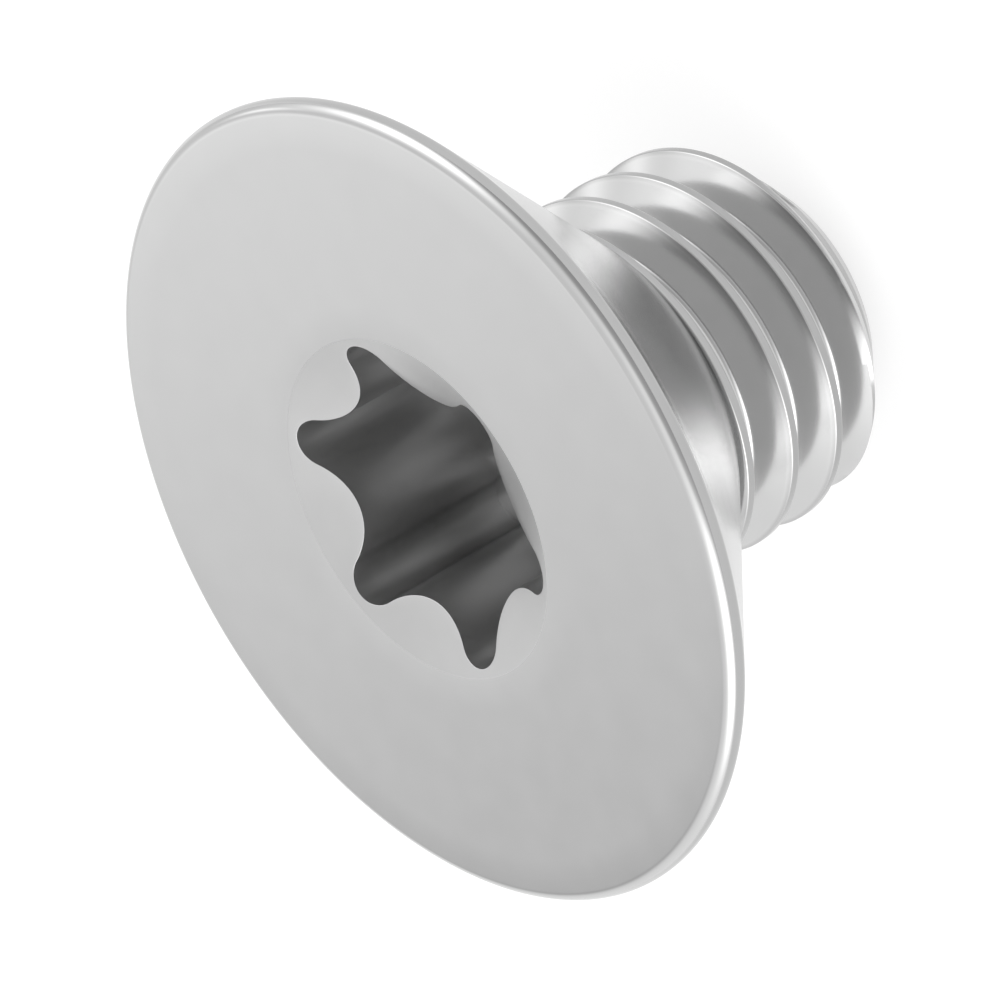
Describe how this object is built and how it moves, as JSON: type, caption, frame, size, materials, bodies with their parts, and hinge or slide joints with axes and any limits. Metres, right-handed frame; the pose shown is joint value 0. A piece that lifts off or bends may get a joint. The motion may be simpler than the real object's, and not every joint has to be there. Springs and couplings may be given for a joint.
{
  "type": "countersunk socket screw",
  "caption": "Fully threaded countersunk screw with a wide flat head, a six-lobe socket and a chamfered thread end.",
  "frame": {"origin": "middle of the flat end of the thread, on the axis of the screw", "axes": "+Z along the axis of the screw, from the end of the thread to the face of the head; a flute of the socket points to +X and a lobe to +Y"},
  "size_m": [0.0172, 0.0172, 0.01],
  "materials": {
    "steel": "bright satin, as turned and rolled, with sharp highlights on the rim and the thread"
  },
  "bodies": {
    "root": {"screw": "steel"}
  },
  "joints": []
}
